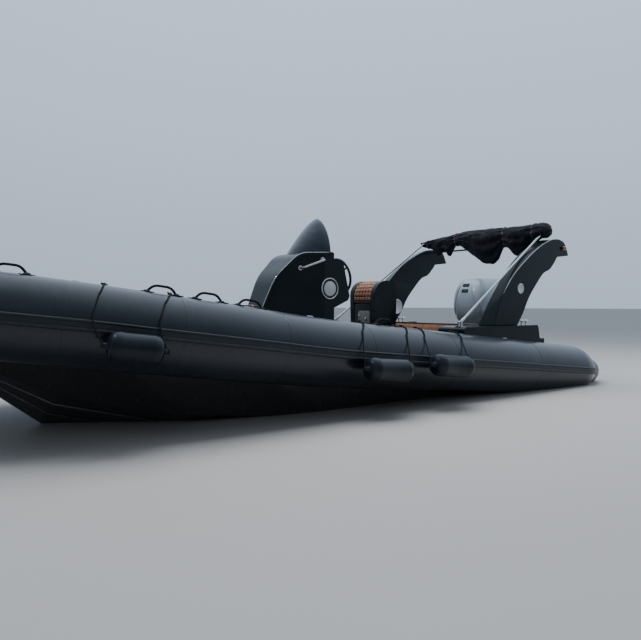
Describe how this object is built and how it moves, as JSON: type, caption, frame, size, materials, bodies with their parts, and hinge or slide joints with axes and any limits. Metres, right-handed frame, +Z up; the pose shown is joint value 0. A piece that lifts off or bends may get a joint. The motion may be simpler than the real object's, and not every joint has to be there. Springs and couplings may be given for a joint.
{
  "type": "rigid inflatable boat",
  "caption": "Rigid inflatable boat with a black buoyancy collar, centre console with hooded screen, raked arch with furled canopy, quilted seats and an outboard.",
  "frame": {"origin": "on the centreline at the aft face of the transom, at the waterline", "axes": "+X towards the bow, +Y to port, +Z up"},
  "size_m": [7.4666, 3.0042, 2.7245],
  "materials": {
    "hull_gelcoat": "gloss dark grey gelcoat",
    "collar_rubber": "satin black coated fabric",
    "strake_rubber": "ribbed rubber strake",
    "deck_pad": "non-slip pad",
    "gloss_black_moulding": "gloss black moulding",
    "stainless_tube": "polished stainless tube",
    "tinted_screen": "dark tinted acrylic",
    "control_plastic": "grained black grip",
    "tan_upholstery": "quilted tan vinyl",
    "red_lens": "red lens",
    "green_lens": "green lens",
    "engine_paint": "silver grey paint",
    "fender_vinyl": "glossy black vinyl",
    "black_rope": "braided black line",
    "canopy_cloth": "dark woven canopy cloth",
    "cowl_silver": "silver cowl paint",
    "propeller_metal": "brushed stainless"
  },
  "bodies": {
    "hull": {"hull": "hull_gelcoat", "collar_port_aft": "collar_rubber", "collar_port_forward": "collar_rubber", "collar_nose": "collar_rubber", "collar_starboard_forward": "collar_rubber", "collar_starboard_aft": "collar_rubber", "strake_port": "strake_rubber", "strake_nose": "strake_rubber", "strake_starboard": "strake_rubber", "deck_sole": "deck_pad", "transom": "gloss_black_moulding", "bow_eye": "stainless_tube", "console": "gloss_black_moulding", "windscreen": "tinted_screen", "console_handle": "stainless_tube", "throttle": "control_plastic", "pod_shell": "gloss_black_moulding", "pod_cushion": "tan_upholstery", "bench_base": "gloss_black_moulding", "bench_backrest": "tan_upholstery", "arch_base_port": "gloss_black_moulding", "arch_base_starboard": "gloss_black_moulding", "arch_leg_port": "gloss_black_moulding", "arch_leg_starboard": "gloss_black_moulding", "side_light_port": "red_lens", "side_light_starboard": "green_lens", "arch_crossbar": "gloss_black_moulding", "canopy_bow_feet": "stainless_tube", "clamp_bracket": "engine_paint", "fenders": "fender_vinyl", "fender_lines": "black_rope", "cleats": "stainless_tube", "grab_loops": "black_rope"},
    "locker_lid": {"locker_lid": "gloss_black_moulding"},
    "helm": {"steering_wheel": "control_plastic"},
    "bench_lid": {"bench_seat": "tan_upholstery"},
    "canopy": {"canopy_bow": "stainless_tube", "canopy_bundle": "canopy_cloth"},
    "swivel": {"swivel_bracket": "engine_paint"},
    "engine": {"engine_cowl": "cowl_silver", "engine_leg": "engine_paint"},
    "propeller": {"propeller": "propeller_metal"}
  },
  "joints": [
    {"name": "locker_lid_hinge", "type": "hinge", "parent": "hull", "child": "locker_lid", "pos_m": [5.295, 0, 0.78635], "axis": [0, 1, 0], "range_deg": [0, 100]},
    {"name": "bench_lid_hinge", "type": "hinge", "parent": "hull", "child": "bench_lid", "pos_m": [1.11, 0, 0.461], "axis": [0, 1, 0], "range_deg": [0, 95]},
    {"name": "helm_turn", "type": "hinge", "parent": "hull", "child": "helm", "pos_m": [2.30844, 0, 1.19], "axis": [-0.9714, 0, 0.2375], "range_deg": [-540, 540]},
    {"name": "canopy_bow_hinge", "type": "hinge", "parent": "hull", "child": "canopy", "pos_m": [1.44, 0, 0.732], "axis": [0, 1, 0], "range_deg": [0, 65]},
    {"name": "engine_tilt", "type": "hinge", "parent": "hull", "child": "swivel", "pos_m": [-0.078, 0, 0.4], "axis": [0, 1, 0], "range_deg": [0, 48]},
    {"name": "engine_steer", "type": "hinge", "parent": "swivel", "child": "engine", "pos_m": [-0.175, 0, 0.27], "axis": [0, 0, 1], "range_deg": [-30, 30]},
    {"name": "propeller_spin", "type": "hinge", "parent": "engine", "child": "propeller", "pos_m": [-0.59, 0, -0.625], "axis": [1, 0, 0], "continuous": true}
  ],
  "couplings": [
    {"joint": "helm_turn", "follows": "engine_steer", "ratio": -18}
  ]
}
